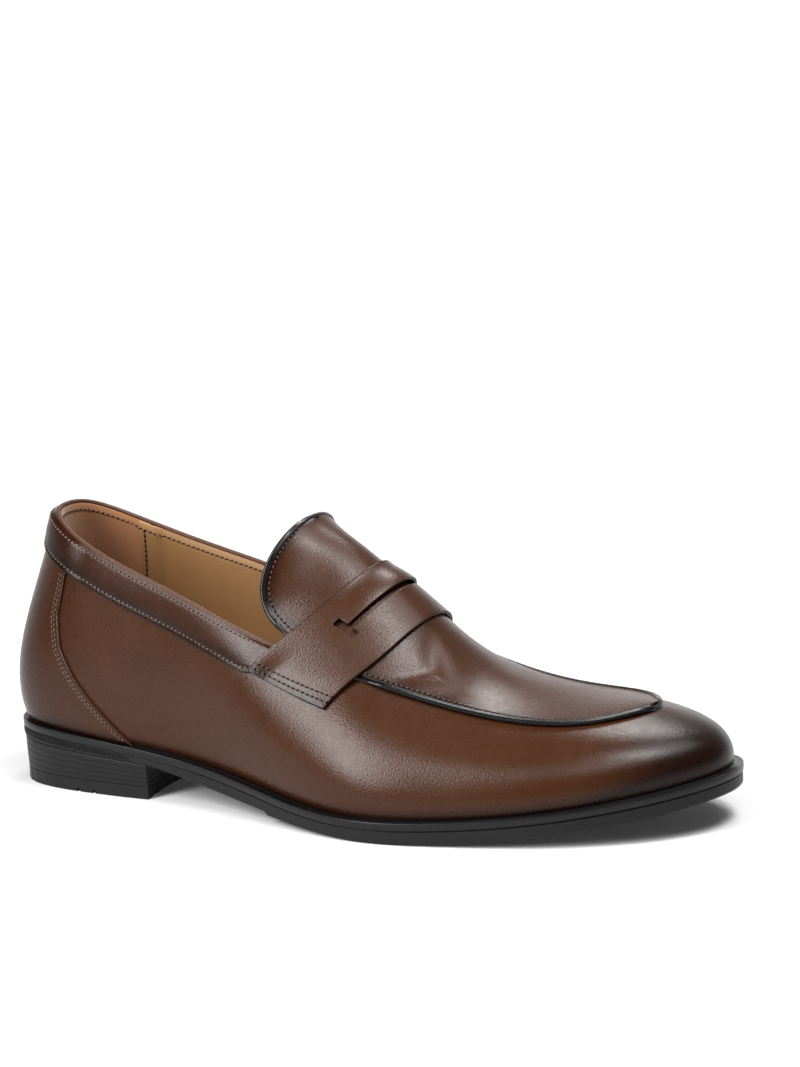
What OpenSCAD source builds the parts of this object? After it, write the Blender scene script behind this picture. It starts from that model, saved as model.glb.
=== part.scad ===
// A right-foot penny loafer: black moulded sole, brown leather upper, tan lining.
// Millimetres, +Z up, toe toward +X, outer side of the foot toward -Y.
// The origin is the middle of the heel's flat underside.

/* [Upper] */
// Thickness of the outer leather
upper_t = 1.3; // [1:0.1:1.6]
// Thickness of the lining leather
lining_t = 1; // [0.8:0.1:1.2]
// Height of the collar band below the topline
band_h = 15; // [11:1:18]
// Thickness of the penny strap
strap_t = 1.5; // [1.2:0.1:1.8]
// Radius of the black piping round the apron and tongue
piping_r = 1.2; // [0.9:0.1:1.6]
// Radius of the edge bead along the topline
binding_r = 1.1; // [0.8:0.1:1.2]
// How far the rear half of the strap bows up beside its slot
strap_bow = 1.6; // [0:0.2:2.4]
// Radius of the sewing thread
thread_r = 0.35; // [0.3:0.05:0.5]

/* [Sole] */
// How far the welt stands out from the upper
welt_reach = 3.5; // [2:0.5:5]
// Thickness of the welt
welt_t = 3; // [2:0.5:4]
// Thickness of the heel's top lift
lift_t = 5; // [4:0.5:7]
// Lines cut round the heel block
stack_lines = 4; // [0:1:6]
// Height of the hidden wedge under the heel of the foot
wedge_h = 26; // [0:1:32]
// Thickness of the insole board
board_t = 2.2; // [1.6:0.1:3]
// Thickness of the sock liner
sock_t = 1.6; // [1:0.1:2.5]

/* [Hidden] */

// Middle of the heel, measured from the back of the upper's bottom edge
heel_mid = 34;
// Paper-thin clearance between two layers
gap = 0.05;
// Front of the heel, and where the forepart tread starts
breast_x = 69;
tread_x = 129;
tread_step = 1.1;

// Stations along half of the shoe, heel to toe: x, centre line y, z, handle length, flare.
feather = [[2, 0, 25, 26, 22], [5, 0, 25, 26, 21], [26, 0, 24, 26, 17], [54, 0, 21.5, 24, 14],
  [84, -1, 18.5, 22, 15], [114, -3, 14, 20, 21], [144, -6, 9.5, 18, 21], [174, -8, 8, 17, 19],
  [204, -4.5, 9, 16, 15], [233, -1, 11.5, 15, 12], [261, 3, 15.5, 14, 9], [286, 7, 20, 14, 7],
  [299.5, 8, 22.5, 14, 5]];
feather_w = [0, 22, 30, 32, 32, 36, 45, 51.5, 49.5, 46.5, 39.5, 25.5, 0];
topline = [[16.5, 0, 108.5, 32, 13], [19.5, 0, 107.5, 32, 13], [36, 0, 99, 30, 11], [60, 0, 90, 28, 9],
  [85, 0, 82.5, 26, 8], [108, -1, 74.5, 22, 14], [130, -1, 66.5, 20, 25], [158, 0, 57.5, 18, 40],
  [184, 1, 49.5, 16, 52], [210, 3, 42.5, 16, 60], [234, 5, 40, 16, 66], [253, 7, 40.5, 16, 72],
  [272, 8, 43, 17, 76]];
topline_w = [0, 14, 23.5, 28, 32, 36, 37, 36, 33, 30.5, 29, 24.5, 0];
// Apron and tongue, tongue top to apron tip: edge x, edge z, ridge x, ridge z, centre line y.
plug = [[129, 108, 129, 108, 0], [127.5, 106, 131, 106, 0], [122.5, 96, 136, 103, 0],
  [120.5, 85.5, 142, 99.5, 0], [124, 76, 149, 95, 0], [134, 69.5, 158, 88.2, 0],
  [146, 62.5, 168, 80.2, 0], [162, 56.5, 180, 69.5, 0], [184, 49.5, 194, 56, 1],
  [210, 42.5, 214, 46, 3], [234, 40, 236, 42.3, 5], [253, 40.5, 254.5, 42.5, 7],
  [272, 43, 272, 43, 8]];
plug_w = [0, 16, 25, 28, 30.5, 33.5, 36, 36, 33, 30.5, 29, 24.5, 0];
// Height of the sole's underside ahead of the heel, every 40 mm from x = 30
under_z = [17.5, 13.4, 4.5, 1, -0.8, 2.8, 7.8, 16];
// Place of the counter seam along the shoe, from the welt up
seam_line = [[0, 3.28], [0.15, 2.84], [0.3, 2.4], [0.45, 2.02], [0.6, 1.82], [0.8, 1.78], [1, 1.85]];

// ---- curves ----
function end_at(c, k, m) = let (n = len(c) - 1)
  k < 0 ? (m == 0 ? 2 * c[0] - c[1] : m * c[-k])
  : k > n ? (m == 0 ? 2 * c[n] - c[n - 1] : m * c[2 * n - k]) : c[k];
// Smooth curve by its stations; m = 1 mirrors past the ends, -1 also flips, 0 runs straight on
function curve(c, s, m = 1) = let (n = len(c) - 1, i = max(0, min(floor(s), n - 1)), t = s - i)
  (pow(1 - t, 3) * end_at(c, i - 1, m) + (3 * pow(t, 3) - 6 * t * t + 4) * c[i]
  + (-3 * pow(t, 3) + 3 * t * t + 3 * t + 1) * c[i + 1] + pow(t, 3) * end_at(c, i + 2, m)) / 6;
// s runs 0 at the heel, 12 at the toe by the lateral side, on to 24 back at the heel
function turn(s) = s - 24 * floor(s / 24);
function fold(s) = turn(s) > 12 ? 24 - turn(s) : turn(s);
function hand(s) = turn(s) > 12 ? 1 : -1;
function edge(c, w, s) = let (p = curve(c, fold(s)))
  [p[0], p[1] + hand(s) * curve(w, fold(s), -1), p[2], p[3], p[4]];
function foot_edge(s) = edge(feather, feather_w, s);
function outward(s) = let (a = foot_edge(s - 0.02), b = foot_edge(s + 0.02), d = [b.y - a.y, a.x - b.x, 0])
  d / norm(d);
// Outer face of the wall: v = 0 at the welt, 1 at the topline or the apron seam
function wall(s, v) = let (f = foot_edge(s), a = edge(topline, topline_w, s), o = outward(s),
  p = [f.x, f.y, f.z], q = [a.x, a.y, a.z], p1 = p + f[3] * [o.x * sin(f[4]), o.y * sin(f[4]), cos(f[4])],
  q1 = q + a[3] * [o.x * sin(a[4]), o.y * sin(a[4]), -cos(a[4])])
  pow(1 - v, 3) * p + 3 * pow(1 - v, 2) * v * p1 + 3 * (1 - v) * v * v * q1 + pow(v, 3) * q;
function unit(a) = a / norm(a);
function wall_n(s, v) = unit(cross(wall(s + 0.05, v) - wall(s - 0.05, v),
  wall(s, v + 0.01) - wall(s, v - 0.01)));
function on_wall(s, v, d) = wall(s, v) + d * wall_n(s, v);
function run(p, k) = k == 0 ? 0 : run(p, k - 1) + norm(p[k] - p[k - 1]);
// v at a distance d below the top edge, and v at a height z
function drop(s, d) = let (p = [for (k = [0:9]) wall(s, 1 - 0.05 * k)])
  lookup(d, [for (k = [0:9]) [run(p, k), 1 - 0.05 * k]]);
function level(s, z) = lookup(z, [for (k = [0:20]) [wall(s, 0.05 * k).z, 0.05 * k]]);
// Outer face of the apron and tongue: t = -1 at the lateral edge, 1 at the medial edge
function crown(j, t) = let (a = curve(plug, j), w = curve(plug_w, j, -1), k = 1 - t * t)
  [a[0] + (a[2] - a[0]) * k, a[4] + t * w, a[1] + (a[3] - a[1]) * k];
function crown_n(j, t) = unit(cross(crown(j + 0.04, t) - crown(j - 0.04, t),
  crown(j, t + 0.02) - crown(j, t - 0.02)));
function ease(x) = let (c = max(0, min(1, x))) c * c * (3 - 2 * c);
function under(x) = x < breast_x ? 18 - 0.06 * x
  : curve(under_z, (x - 30) / 40, 0) + (x < tread_x ? tread_step : 0);
function steps(a, b, n) = [for (k = [0:n]) a + (b - a) * k / n];

// ---- solids ----
function quad(a, b, c, d) = [[a, b, c], [a, c, d]];
// A sheet of given thickness; rows hold [point, normal, inner offset, outer offset]
module sheet(rows, holes = []) {
  n = len(rows);
  m = len(rows[0]);
  o = n * m;
  function there(i, j) = i >= 0 && j >= 0 && i < n - 1 && j < m - 1
    && len([for (h = holes) if (i >= h[0] && i < h[1] && j >= h[2] && j < h[3]) 1]) == 0;
  points = [for (r = rows) for (c = r) c[0] + c[1] * c[3],
    for (r = rows) for (c = r) c[0] + c[1] * c[2]];
  faces = [for (i = [0:n - 2]) for (j = [0:m - 2]) if (there(i, j))
    let (a = i * m + j, b = a + 1, c = a + m + 1, d = a + m)
    each concat(quad(a, b, c, d), quad(o + a, o + d, o + c, o + b),
      there(i - 1, j) ? [] : quad(b, a, o + a, o + b), there(i, j + 1) ? [] : quad(c, b, o + b, o + c),
      there(i + 1, j) ? [] : quad(d, c, o + c, o + d), there(i, j - 1) ? [] : quad(a, d, o + d, o + a))];
  polyhedron(points, faces, convexity = 6);
}
// A round bar through stations of [point, normal, radius]
module bar(path, sides = 4, closed = false) {
  n = len(path);
  last = closed ? n - 1 : n - 2;
  points = [for (i = [0:n - 1])
    let (a = path[closed ? (i + n - 1) % n : max(0, i - 1)][0],
      b = path[closed ? (i + 1) % n : min(n - 1, i + 1)][0],
      t = unit(b - a), u = unit(path[i][1] - t * (path[i][1] * t)), w = cross(t, u))
    for (k = [0:sides - 1]) let (g = 360 * (k + 0.5) / sides)
      path[i][0] + path[i][2] * (cos(g) * u + sin(g) * w)];
  skin = [for (i = [0:last]) for (k = [0:sides - 1])
    let (e = ((i + 1) % n) * sides, f = i * sides, l = (k + 1) % sides) each quad(f + k, e + k, e + l, f + l)];
  z = (n - 1) * sides;
  caps = closed ? [] : [for (k = [1:sides - 2]) each [[0, k, k + 1], [z, z + k + 1, z + k]]];
  polyhedron(points, concat(skin, caps), convexity = 6);
}
// Rings stacked from the bottom up, closed by strips across from side to side, or by fans
module slab(rings, fan = false) {
  n = len(rings[0]);
  l = len(rings) - 1;
  h = n / 2;
  mid = [for (r = [rings[0], rings[l]]) (r[0] + r[n - 1] + r[h - 1] + r[h]) / 4];
  points = concat([for (r = rings) each r], mid);
  side = [for (k = [0:l - 1]) for (i = [0:n - 1])
    let (a = k * n + i, b = k * n + (i + 1) % n) each quad(a, a + n, b + n, b)];
  t = l * n;
  strip = [for (i = [0:h - 2]) each concat(quad(t + i, t + n - 1 - i, t + n - 2 - i, t + i + 1),
    quad(i, i + 1, n - 2 - i, n - 1 - i))];
  spoke = [for (i = [0:n - 1]) each [[(l + 1) * n + 1, t + (i + 1) % n, t + i], [(l + 1) * n, i, (i + 1) % n]]];
  polyhedron(points, concat(side, fan ? spoke : strip), convexity = 6);
}
// Rings that close on themselves round a hollow middle
module hoop(rings) {
  n = len(rings[0]);
  l = len(rings);
  side = [for (k = [0:l - 1]) for (i = [0:n - 1])
    let (f = ((k + 1) % l) * n, j = (i + 1) % n) each quad(k * n + i, f + i, f + j, k * n + j)];
  polyhedron([for (r = rings) each r], side, convexity = 6);
}
// Lateral stations then their medial mirrors, heel to toe and back
function both(ss) = concat(ss, [for (k = [len(ss) - 1:-1:0]) 24 - ss[k]]);
around = both([for (k = [0:27]) 12 * (k + 0.5) / 28]);
function rim(ss, d, dz) = [for (s = ss) let (f = foot_edge(s), o = outward(s))
  [f.x + o.x * d, f.y + o.y * d, f.z + dz]];
function rim_under(ss, d, dz) = [for (p = rim(ss, d, 0)) [p.x, p.y, under(p.x) + dz]];
module placed() {
  translate([-heel_mid, 0, 0]) children();
}
module along_wall(ss, vv, lo, hi) {
  sheet([for (s = ss) [for (v = vv) [wall(s, v), wall_n(s, v), lo, hi]]]);
}

// ---- sole ----
module outsole() {
  // extra stations just behind and ahead of the tread step
  ss = both([for (k = [0:12]) 5.35 * (k + 0.5) / 13, 5.5, 5.54, for (k = [0:16]) 5.7 + 6.2 * k / 16]);
  color("#262524") placed() slab([rim_under(ss, welt_reach - 1.1, 0), rim_under(ss, welt_reach - 0.3, 1),
    rim(ss, welt_reach - 0.3, -welt_t - 0.9), rim(ss, welt_reach - 1.2, -welt_t - 0.7),
    rim(ss, welt_reach - 1.2, -welt_t - gap)]);
}
// Outline of the heel: round the back, then the hollow front, drawn in by d
function heel_ring(d, f) = let (ss = [for (k = [0:12]) 3.3 * (k + 0.5) / 13], n = 4,
  back = [for (p = rim(ss, d, 0)) [min(p.x, breast_x - 1), p.y]], w = -back[12].y,
  front = [for (k = [0:n - 1]) let (y = -w + w * k / n) [breast_x - 4 * (1 - pow(y / w, 2)), y]],
  half = concat(back, front), all = concat(half, [for (k = [len(half) - 1:-1:0]) [half[k].x, -half[k].y]]))
  [for (p = all) [p.x, p.y, lift_t + gap + f * (under(p.x) - lift_t - 2 * gap)]];
// The heel narrows a little toward the ground
function heel_reach(f) = welt_reach - 1.2 + 0.6 * f;
module heel_block() {
  // a shallow V line between the lifts of the stack
  lines = [for (k = [1:1:stack_lines]) k / (stack_lines + 1)];
  notch = [for (f = lines) each [[0, f - 0.025], [-0.4, f], [0, f + 0.025]]];
  levels = concat([[0, 0]], notch, [[0, 1]]);
  color("#2b2a29") placed() slab([for (l = levels) heel_ring(heel_reach(l[1]) + l[0], l[1])], true);
}
module heel_top_lift() {
  // two fine drain notches cross the tread
  notch_x = [2.2, 9.6];
  notch_w = 1.4;
  pts = [for (p = heel_ring(heel_reach(0), 0)) [p.x - heel_mid, p.y]];
  color("#1f1e1d") difference() {
    linear_extrude(lift_t) polygon(pts);
    for (x = notch_x) translate([x - notch_w / 2, -50, -1]) cube([notch_w, 100, 2.2]);
  }
}
module welt() {
  o = welt_reach;
  color("#1d1c1b") placed() hoop([rim(around, o - 0.7, -welt_t), rim(around, o, 0.6 - welt_t),
    rim(around, o, -0.6),
    rim(around, o - 0.6, -gap), rim(around, -5, -gap), rim(around, -5, -welt_t)]);
}
module insole_board() {
  color("#b08a5c") placed() slab([rim(around, -3.3, gap), rim(around, -3.3, board_t)]);
}
module shank() {
  heights = [for (f = feather) f[2]];
  color("#8d9094") placed() sheet([for (x = [42:12:126]) [for (y = [-7, 0, 7])
    [[x, y, curve(heights, x < 114 ? x / 26.5 + 0.85 : x / 29 + 1.1) - 1.6], [0, 0, 1], -0.6, 0.6]]]);
}
module cork_filler() {
  ss = [for (s = around) if (fold(s) > 5.5) s];
  color("#9c7747") placed() slab([rim(ss, -5.4, gap - welt_t), rim(ss, -5.4, -0.5)]);
}
// Height of the foot bed over the feather line
function bed(x) = board_t + gap
  + wedge_h * (x < 30 ? 1 : x > 132 ? 0 : (1 + cos(180 * (x - 30) / 102)) / 2);
function bed_ring(ss, inset, up) = [for (s = ss) let (z = foot_edge(s).z + bed(foot_edge(s).x) + up,
  p = on_wall(s, level(s, z), -upper_t - lining_t - inset)) [p.x, p.y, z]];
module hidden_heel_wedge() {
  half = [for (s = around) if (s < 5.5) s];
  ss = both(half);
  color("#4a4a48") placed() slab([rim(ss, -3.6, board_t + gap), bed_ring(ss, 1, 0)]);
}
module sock_liner() {
  color("#a97b4c") placed() slab([bed_ring(around, 1.1, gap), bed_ring(around, 1.1, gap + sock_t)]);
}

// ---- upper ----
function seam_at(v) = lookup(v, seam_line);
function top_v(s) = drop(s, 2);
module vamp() {
  lap = 0.3;
  n = 78;
  m = 9;
  color("#5a3018") placed() sheet([for (i = [0:n]) [for (j = [0:m])
    let (a = seam_at(j / m) - lap, s = a + (24 - 2 * a) * i / n, v = top_v(s) * j / m)
    [wall(s, v), wall_n(s, v), -upper_t, 0]]]);
}
module heel_stiffener() {
  color("#c8bfae") placed() sheet([for (i = [0:28]) [for (j = [0:6])
    let (a = seam_at(j / 6) - 0.33, s = a * (i / 14 - 1), v = j / 6 * 0.93)
    [wall(s, v), wall_n(s, v), 0.15 - upper_t, 0]]]);
}
module heel_counter_panel() {
  color("#4a2512") placed() sheet([for (i = [0:28]) [for (j = [0:7])
    let (a = seam_at(j / 7 * 0.83), s = a * (i / 14 - 1), v = 0.02 + j / 7 * (drop(s, band_depth(s) - 3) - 0.02))
    [wall(s, v), wall_n(s, v), gap, upper_t]]]);
}
// The band is a little narrower round the back, and lifts over the counter panel
function band_depth(s) = band_h - 3 * (1 - ease(fold(s) / 1.6));
function band_lift(s) = gap + upper_t * (1 - ease((fold(s) - 1.75) / 0.5));
module collar_band() {
  color("#36190b") placed() sheet([for (s = steps(-5.8, 5.8, 56)) [for (k = [0:3])
    let (v = drop(s, 2 + (band_depth(s) - 2) * (1 - k / 3)), lo = band_lift(s))
    [wall(s, v), wall_n(s, v), lo, lo + upper_t]]]);
}
module topline_binding() {
  color("#6d452c") placed() bar([for (s = steps(-6.3, 6.3, 48)) let (v = drop(s, 0.8))
    [on_wall(s, v, 0.4 * band_lift(s) - 0.5), wall_n(s, v), binding_r]], 6);
}
function plug_t(j, d) = 1 - d / max(curve(plug_w, j, -1), 2 * d);
module plug_sheet(j0, d, lo, hi) {
  rows = concat([j0, j0 + 0.4], steps(1.5, 11, 19), [11.4, 11.66]);
  sheet([for (j = rows) [for (t = steps(-plug_t(j, d), plug_t(j, d), 10))
    [crown(j, t), crown_n(j, t), lo, hi]]]);
}
module apron() {
  color("#5a3018") placed() plug_sheet(0.7, 1.5, gap, upper_t);
}
module apron_lining() {
  color("#b88a55") placed() plug_sheet(0.75, 2.2, -lining_t, 0);
}
// The piping is pressed flat where the strap crosses it
function press(j) = ease((j - 4.4) / 0.5) * (1 - ease((j - 7.2) / 0.4));
function pipe_at(j, e) = let (n = unit(crown_n(j, 0.97 * e) + [0, 0, 0.4]))
  [crown(j, e) + n * (0.9 - 0.7 * press(j)), n, piping_r * (1 - 0.45 * press(j))];
module apron_piping() {
  js = concat([0.02, 0.35], steps(0.8, 11.2, 30), [11.6, 11.85, 11.98]);
  back = [for (k = [len(js) - 1:-1:0]) pipe_at(js[k], 1)];
  color("#100f0f") placed() bar(concat([for (j = js) pipe_at(j, -1)], back), 6, true);
}

// Strap: control points from the lateral end over the ridge to the medial end
// The rear edge laps over the end of the collar band
function strap_ctl(q) = let (s0 = 5.63 + 1.2 * q, s2 = 6 + 1.24 * q, v0 = 0.79 - 0.074 * q,
  lap = 1.3 * (1 - ease(q / 0.3)),
  low = [[s0, v0, 0.8 + lap], [(s0 + s2) / 2, (v0 + 1) / 2, 1.2 + lap], [s2, 0.995, 2.6]],
  over = [for (c = [[-0.8, 3.5], [-0.4, 3.6], [0, 4], [0.4, 3.6], [0.8, 3.5]])
    let (t = c[0], k = 1 - t * t, j = 5.15 - 0.47 * k + q * (2.04 + 0.08 * k))
    crown(j, t) + crown_n(j, t) * c[1]])
  concat([for (c = low) on_wall(c[0], c[1], c[2])], over,
    [for (k = [2:-1:0]) on_wall(24 - low[k][0], low[k][1], low[k][2])]);
function strap_bulge(q, r) = q > 0.5 ? 0
  : strap_bow * ease((q - 0.05) / 0.4) * cos(90 * min(1, abs(r - 5) / 1.95));
function strap(q, r) = curve(strap_ctl(q), r, 0);
function strap_n(q, r) = unit(cross(strap(q + 0.02, r) - strap(q - 0.02, r),
  strap(q, min(10, r + 0.05)) - strap(q, max(0, r - 0.05))));
module penny_strap() {
  qs = [0, 0.1, 0.2, 0.32, 0.46, 0.52, 0.62, 0.75, 0.88, 1];
  near = [0, 0.35, 0.8, 1.3, 1.8, 2.2, 2.6, 3.03, 3.22, 3.7, 4.2, 4.6];
  rs = concat(near, [5], [for (k = [11:-1:0]) 10 - near[k]]);
  // an I-shaped slot: a bar cut across each end of the long slit
  color("#5e341b") placed() sheet([for (q = qs) [for (r = rs) let (b = strap_bulge(q, r))
    [strap(q, r), strap_n(q, r), b - strap_t / 2, b + strap_t / 2]]],
    [[3, 6, 7, 8], [4, 5, 8, 16], [3, 6, 16, 17]]);
}

// ---- linings and hidden pieces of the upper ----
module vamp_lining() {
  top = -upper_t - 0.85;
  vv = [0.03, 0.2, 0.4, 0.6, 0.8, 0.93];
  color("#c39a66") placed() along_wall(steps(6.95, 17.05, 60), vv, top - lining_t, top);
}
module toe_puff() {
  ss = steps(9.9, 14.1, 26);
  color("#d2c6b0") placed() along_wall(ss, [0.03, 0.2, 0.4, 0.6, 0.8, 0.88], -upper_t - 0.8, -upper_t - gap);
}
// Rear edge of a quarter lining laps over the heel grip
function lap_in(s) = -upper_t - gap - (lining_t + gap) * (1 - ease((s - 2.25) / 0.2));
module quarter_lining(m) {
  ss = concat([2, 2.12, 2.25, 2.38], steps(2.5, 6.9, 22));
  rows = [for (s = ss) [for (j = [0:7]) let (z = m > 0 ? 24 - s : s, v = 0.02 + (top_v(s) - 0.02) * j / 7)
    [wall(z, v), wall_n(z, v), lap_in(s) - lining_t, lap_in(s)]]];
  color("#b98c57") placed() sheet(m > 0 ? [for (k = [len(rows) - 1:-1:0]) rows[k]] : rows);
}
module quarter_lining_lateral() {
  quarter_lining(-1);
}
module quarter_lining_medial() {
  quarter_lining(1);
}
module heel_grip_lining() {
  color("#7d5a38") placed() sheet([for (s = steps(-2.2, 2.2, 28)) [for (j = [0:7])
    let (v = 0.02 + (top_v(s) - 0.02) * j / 7)
    [wall(s, v), wall_n(s, v), -upper_t - gap - lining_t, -upper_t - gap]]]);
}

// ---- sewing threads ----
module seam(pts) {
  placed() bar([for (p = pts) [p[0] + p[1] * thread_r, p[1], thread_r]], 4);
}
function on(s, v, d) = [on_wall(s, v, d), wall_n(s, v)];
module apron_stitching() {
  function sewn(j, e) = let (t = e * plug_t(j, 3.2), n = crown_n(j, t))
    [crown(j, t) + n * (upper_t + thread_r), n, thread_r];
  js = concat([1, 1.3], steps(1.7, 11.3, 26));
  back = [for (k = [len(js) - 1:-1:0]) sewn(js[k], 1)];
  color("#1c100a") placed() bar(concat([for (j = js) sewn(j, -1)], back), 4, true);
}
module collar_top_stitching() {
  ss = steps(-6.05, 6.05, 40);
  color("#8a6d57") {
    seam([for (s = ss) on(s, drop(s, 3.6), band_lift(s) + upper_t)]);
    seam([for (s = ss) let (d = fold(s) < 2.4 && fold(s) > 1.95 ? lap_in(2) : lap_in(3))
      on(s, drop(s, 4), d - lining_t - 2 * thread_r)]);
  }
}
module collar_lower_stitching() {
  color("#8a6d57") seam([for (s = steps(-5.55, 5.55, 40))
    on(s, drop(s, band_depth(s) - 1.8), band_lift(s) + upper_t)]);
}
module strap_stitching(m) {
  color("#2a1509") for (r = [0.3, 0.62]) seam([for (q = steps(0.06, 0.94, 6))
    let (z = m > 0 ? 10 - r : r, n = strap_n(q, z)) [strap(q, z) + n * strap_t / 2, n]]);
}
module strap_stitching_lateral() {
  strap_stitching(-1);
}
module strap_stitching_medial() {
  strap_stitching(1);
}
module counter_stitching(m) {
  color("#6d5443") for (d = [0.05, 0.11]) seam([for (v = steps(0.03, 0.8, 10))
    let (s = seam_at(v) - d) on(m > 0 ? 24 - s : s, v, upper_t)]);
}
module counter_stitching_lateral() {
  counter_stitching(-1);
}
module counter_stitching_medial() {
  counter_stitching(1);
}
module lining_stitching(m) {
  color("#4a2d18") seam([for (v = steps(0.35, 0.94, 8))
    on(m > 0 ? 21.9 : 2.1, v, lap_in(2) - lining_t - 2 * thread_r)]);
}
module lining_stitching_lateral() {
  lining_stitching(-1);
}
module lining_stitching_medial() {
  lining_stitching(1);
}

outsole();
heel_block();
heel_top_lift();
welt();
insole_board();
shank();
cork_filler();
hidden_heel_wedge();
sock_liner();
vamp();
heel_counter_panel();
collar_band();
topline_binding();
apron();
apron_piping();
penny_strap();
vamp_lining();
apron_lining();
quarter_lining_lateral();
quarter_lining_medial();
heel_grip_lining();
heel_stiffener();
toe_puff();
apron_stitching();
collar_top_stitching();
collar_lower_stitching();
strap_stitching_lateral();
strap_stitching_medial();
counter_stitching_lateral();
counter_stitching_medial();
lining_stitching_lateral();
lining_stitching_medial();
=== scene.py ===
"""A right-foot penny loafer in burnished brown leather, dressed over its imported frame."""
from math import cos, pi, radians, sin

import bpy
import numpy as np
from mathutils import Matrix, Vector


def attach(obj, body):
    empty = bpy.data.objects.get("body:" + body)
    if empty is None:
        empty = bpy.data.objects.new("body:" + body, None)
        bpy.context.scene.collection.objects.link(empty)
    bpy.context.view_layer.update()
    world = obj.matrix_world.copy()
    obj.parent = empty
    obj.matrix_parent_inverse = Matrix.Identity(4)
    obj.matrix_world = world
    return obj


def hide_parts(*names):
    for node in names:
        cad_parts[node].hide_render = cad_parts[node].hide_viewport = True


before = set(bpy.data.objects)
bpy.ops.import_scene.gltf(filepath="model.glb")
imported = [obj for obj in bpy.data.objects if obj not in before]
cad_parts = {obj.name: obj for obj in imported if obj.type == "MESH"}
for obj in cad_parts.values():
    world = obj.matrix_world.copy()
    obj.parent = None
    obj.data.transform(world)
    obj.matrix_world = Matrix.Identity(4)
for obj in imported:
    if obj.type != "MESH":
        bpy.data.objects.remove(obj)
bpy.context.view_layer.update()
scene = bpy.context.scene
MM = 0.001
VIEW_AZIMUTH = 28.0
LAMPS_AIM_AT = (0.12, 0, 0.05)


# ---- camera and studio ----
def aim(azimuth, elevation):
    """The way from the shoe toward a light or camera, azimuth 0 being the outer side."""
    a, e = radians(azimuth), radians(elevation)
    return Vector((sin(a) * cos(e), -cos(a) * cos(e), sin(e)))


def set_camera(azimuth, elevation, distance, target, lens, roll):
    back = aim(azimuth, elevation)
    right = Vector((cos(radians(azimuth)), sin(radians(azimuth)), 0))
    up = back.cross(right)
    c, s = cos(radians(roll)), sin(radians(roll))
    x, y = right * c - up * s, right * s + up * c
    data = bpy.data.cameras.new("camera")
    data.lens, data.clip_end = lens, 20
    camera = bpy.data.objects.new("camera", data)
    at = Vector(target) + back * distance
    camera.matrix_world = Matrix([(x[i], y[i], back[i], at[i]) for i in range(3)] + [(0, 0, 0, 1)])
    scene.collection.objects.link(camera)
    scene.camera = camera


def softbox(name, azimuth, elevation, distance, wide, tall, power):
    data = bpy.data.lights.new(name, "AREA")
    data.shape, data.size, data.size_y = "RECTANGLE", wide, tall
    data.energy = power
    lamp = bpy.data.objects.new(name, data)
    toward = aim(azimuth, elevation)
    lamp.location = Vector(LAMPS_AIM_AT) + toward * distance
    lamp.rotation_euler = toward.to_track_quat("Z", "Y").to_euler()
    scene.collection.objects.link(lamp)


set_camera(VIEW_AZIMUTH, elevation=11.7, distance=1.5, target=(0.132, 0, 0.104), lens=133.8, roll=2.5)
scene.view_settings.view_transform = "Standard"
softbox("window", azimuth=-26, elevation=33, distance=1.5, wide=0.52, tall=1.1, power=40)
softbox("overhead", azimuth=92, elevation=65, distance=1.4, wide=1.3, tall=0.6, power=16)
softbox("tongue_fill", azimuth=32, elevation=50, distance=1.45, wide=0.55, tall=0.4, power=4)
softbox("side_box", azimuth=78, elevation=65, distance=1.3, wide=0.3, tall=0.3, power=8)
softbox("rear_box", azimuth=188, elevation=52, distance=1.5, wide=0.45, tall=0.35, power=9)
world = bpy.data.worlds.new("studio")
world.use_nodes = True
room_light = world.node_tree.nodes["Background"]
room_light.inputs["Color"].default_value = (1, 1, 1, 1)
room_light.inputs["Strength"].default_value = 0.13
scene.world = world


# ---- finishes ----
class Tone:
    """A number that varies over a surface; arithmetic on it adds the nodes that work it out."""

    def __init__(self, finish, socket):
        self.finish, self.socket = finish, socket

    def maths(self, operation, *others, clamp=False):
        values = dict(enumerate((self,) + others))
        return self.finish.node("ShaderNodeMath", {"operation": operation, "use_clamp": clamp}, values)

    def __add__(self, other):
        return self.maths("ADD", other)

    def __sub__(self, other):
        return self.maths("SUBTRACT", other)

    def __rsub__(self, other):
        return self * -1.0 + other

    def __mul__(self, other):
        return self.maths("MULTIPLY", other)

    __radd__, __rmul__ = __add__, __mul__

    def ramp(self, low, high):
        """0 below low, 1 above high, eased between."""
        return self.finish.node("ShaderNodeMapRange", {"interpolation_type": "SMOOTHSTEP"},
                                {"Value": self, "From Min": low, "From Max": high})

    def clamped(self):
        return self.maths("ADD", 0.0, clamp=True)


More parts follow.
